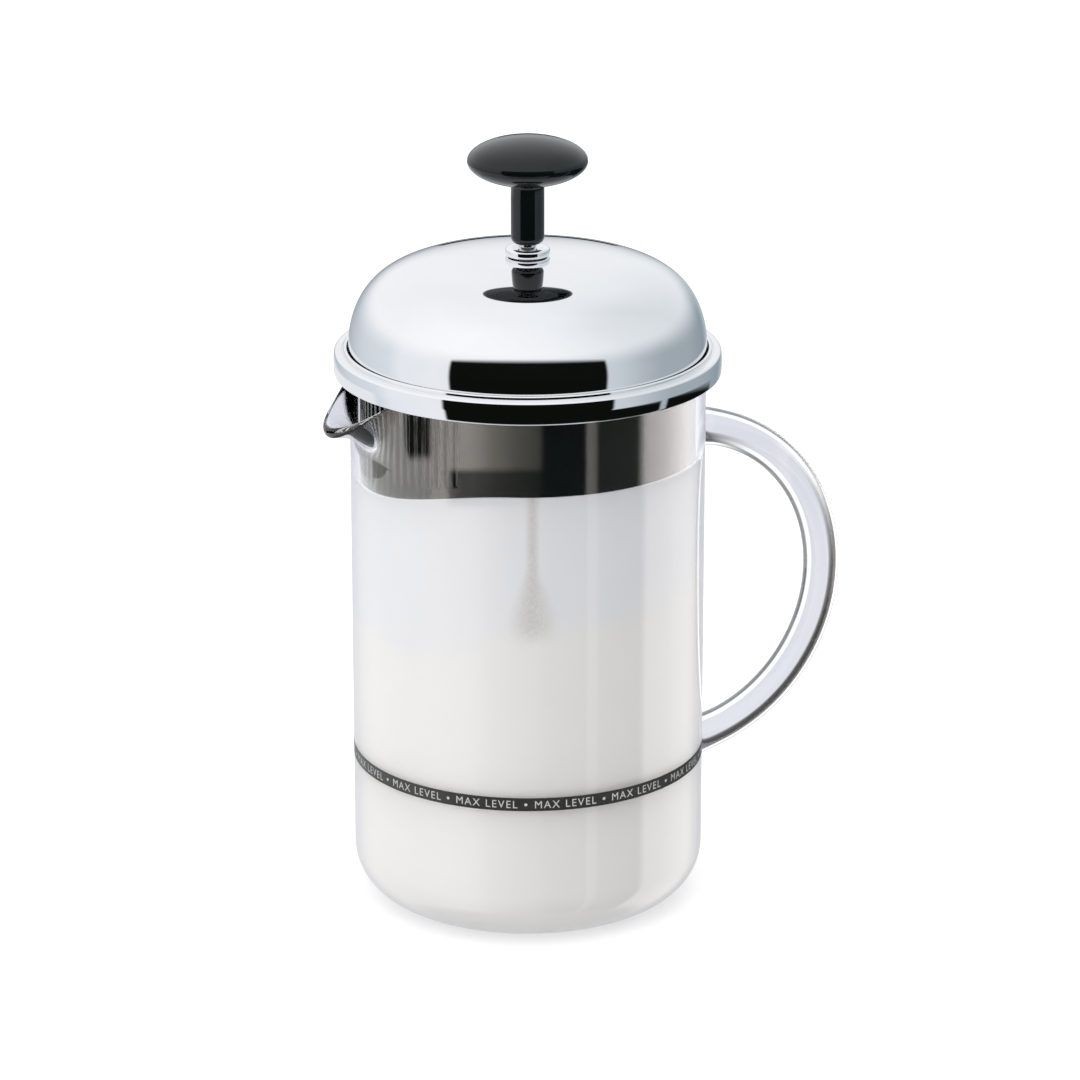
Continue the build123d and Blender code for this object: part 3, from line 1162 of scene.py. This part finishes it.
# Seen through glass: (degrees off the view straight behind, and the colour), to the upper left and away
THROUGH_NEAR = [
    (0, (0.78, 0.79, 0.86)),
    (12, (0.80, 0.81, 0.88)),
    (16, (0.05, 0.05, 0.05)),
    (40, (0.03, 0.03, 0.03)),
    (46, (1.30, 1.30, 1.32)),
    (58, (1.10, 1.10, 1.12)),
    (66, (0.25, 0.26, 0.28)),
    (90, (0.90, 0.90, 0.94)),
    (118, (0.90, 0.90, 0.94)),
    (124, (0.15, 0.16, 0.17)),
    (134, (0.20, 0.21, 0.22)),
    (142, (0.90, 0.90, 0.94)),
    (153, (0.90, 0.90, 0.94)),
    (158, (0.12, 0.12, 0.13)),
    (168, (0.16, 0.16, 0.18)),
    (174, (0.85, 0.85, 0.90)),
]
THROUGH_FAR = [
    (0, (0.78, 0.79, 0.86)),
    (24, (0.76, 0.77, 0.84)),
    (28, (1.20, 1.20, 1.22)),
    (37, (1.20, 1.20, 1.22)),
    (43, (0.20, 0.21, 0.23)),
    (66, (0.16, 0.17, 0.19)),
    (74, (0.90, 0.90, 0.94)),
    (108, (0.90, 0.90, 0.94)),
    (114, (0.15, 0.16, 0.17)),
    (128, (0.20, 0.21, 0.22)),
    (136, (0.90, 0.90, 0.94)),
    (150, (0.90, 0.90, 0.94)),
    (155, (0.12, 0.12, 0.13)),
    (166, (0.16, 0.16, 0.18)),
    (172, (0.85, 0.85, 0.90)),
]


# Patches of the surroundings: (from, to) sideways and (from, to) upwards
FRONT_CARD = ((-1.22, 1.25), (-0.90, 0.405))
LEFT_CARD = ((-172, -104), (-40, -15))
RIM_DASHES = (((46, 87), (-60, -20)), ((92, 140), (-60, -19)))
UNDER_SKIRT = ((-53, 26), (-18.05, -17.6))
BESIDE_SPOUT = ((-124, -66), (-17.45, 6))
DARK = (0.004, 0.005, 0.004)


def compass(tree):
    """Where a direction points: turn and rise in degrees, its place on a flat card in front, and itself."""
    direction = tree.nodes.new("ShaderNodeTexCoord").outputs["Generated"]
    ahead = dot(tree, direction, around(CAMERA_AZIMUTH, 1, 0))
    aside = dot(tree, direction, around(CAMERA_AZIMUTH + 90, 1, 0))
    up = dot(tree, direction, (0, 0, 1))
    turn = math_node(tree, "DEGREES", math_node(tree, "ARCTAN2", aside, ahead))
    rise = math_node(tree, "DEGREES", math_node(tree, "ARCSINE", up))
    before = math_node(tree, "MAXIMUM", ahead, 0.05)
    card = (math_node(tree, "DIVIDE", aside, before), math_node(tree, "DIVIDE", up, before))
    return {"turn": turn, "rise": rise, "ahead": ahead, "card": card, "direction": direction}


def by_angle(tree, angle, stops):
    """A colour by an angle from -180 to 180 degrees."""
    place = tree.nodes.new("ShaderNodeMapRange")
    place.inputs["From Min"].default_value = -180
    place.inputs["From Max"].default_value = 180
    tree.links.new(angle, place.inputs["Value"])
    return ramp(tree, place, "Result", [((a + 180) / 360, color) for a, color in stops]).outputs["Color"]


def chrome_studio(tree, place):
    """What metal and plastic mirror: a bright tent above, greyer sides, and the dark of the camera's side."""
    turn, rise = place["turn"], place["rise"]
    low = by_angle(tree, turn, CHROME_LOW)
    high = by_angle(tree, turn, CHROME_HIGH)
    behind = math_node(tree, "SUBTRACT", 1.0, place["ahead"])
    lifted = math_node(tree, "ADD", rise, math_node(tree, "MULTIPLY", behind, 9.0))
    color = blend_colors(tree, step(tree, lifted, 10, 32), low, high)
    color = blend_colors(tree, step(tree, rise, 50, 88), color, (0.97, 0.98, 1.00))
    color = blend_colors(tree, step(tree, rise, -40, -52), color, (0.80, 0.82, 0.85))
    left = window(tree, turn, rise, *LEFT_CARD, 4.0, 1.0)
    color = blend_colors(tree, left, color, (0.86, 0.88, 0.91))
    front = window(tree, *place["card"], *FRONT_CARD, 0.06, 0.075)
    color = blend_colors(tree, front, color, DARK)
    for sides, heights in RIM_DASHES:
        dash = window(tree, turn, rise, sides, heights, 1.6, 1.5)
        color = blend_colors(tree, dash, color, DARK)
    return color


def glass_studio(tree, place):
    """What clear glass mirrors: soft strips to both sides and the dark of the camera's side."""
    turn, rise = place["turn"], place["rise"]
    color = by_angle(tree, turn, GLASS_RING)
    under_skirt = window(tree, turn, rise, *UNDER_SKIRT, 3.0, 0.06)
    color = blend_colors(tree, under_skirt, color, (0.03, 0.03, 0.03))
    beside_spout = window(tree, turn, rise, *BESIDE_SPOUT, 3.0, 0.08)
    color = blend_colors(tree, beside_spout, color, (0.06, 0.06, 0.05))
    color = blend_colors(tree, step(tree, rise, -45, -60), color, (0.72, 0.73, 0.78))
    return blend_colors(tree, step(tree, rise, 6, 22), color, (1.0, 1.0, 1.04))


def through_studio(tree, place):
    """What is seen through clear glass: pale behind, with dark arcs off to the sides for its edges."""
    slope = math.radians(CAMERA_TILT)
    behind = around(CAMERA_AZIMUTH + 180, math.cos(slope), -math.sin(slope))
    off = math_node(tree, "DEGREES", math_node(tree, "ARCCOSINE", dot(tree, place["direction"], behind)))
    upper_left = around(CAMERA_AZIMUTH - 90, 0.75, 0.66)
    side = step(tree, dot(tree, place["direction"], upper_left), -0.25, 0.15)
    return blend_colors(tree, side, by_angle(tree, off, THROUGH_FAR), by_angle(tree, off, THROUGH_NEAR))


def make_world():
    """The tent that lights the object, with its own reflections for metal and for glass, on white."""
    world = bpy.data.worlds.new("studio")
    world.use_nodes = True
    tree = world.node_tree
    tree.nodes.clear()
    place = compass(tree)
    path = tree.nodes.new("ShaderNodeLightPath").outputs
    soft = (0.97, 0.975, 0.985)
    mirrored = math_node(tree, "GREATER_THAN", path["Glossy Depth"], 0.5)
    scattered = math_node(tree, "GREATER_THAN", path["Diffuse Depth"], 0.5)
    glass_view = blend_colors(tree, mirrored, through_studio(tree, place), glass_studio(tree, place))
    color = blend_colors(tree, path["Is Glossy Ray"], soft, chrome_studio(tree, place))
    color = blend_colors(tree, path["Is Singular Ray"], color, glass_view)
    color = blend_colors(tree, scattered, color, soft)
    color = blend_colors(tree, path["Is Camera Ray"], color, (1.05, 1.05, 1.05))
    light = tree.nodes.new("ShaderNodeBackground")
    tree.links.new(color, light.inputs["Color"])
    output = tree.nodes.new("ShaderNodeOutputWorld")
    tree.links.new(light.outputs[0], output.inputs["Surface"])
    scene.world = world


make_floor()
make_world()
area_light("overhead", 0, 0.0, 2.2, 2.6, 2.6, 18)
area_light("left_key", -50, 1.6, 0.7, 0.9, 1.2, 4.5)
area_light("right_fill", 80, 1.6, 0.6, 0.7, 1.0, 0.4)

scene.view_settings.view_transform = "Standard"
scene.view_settings.look = "None"
scene.view_settings.exposure = 0.0
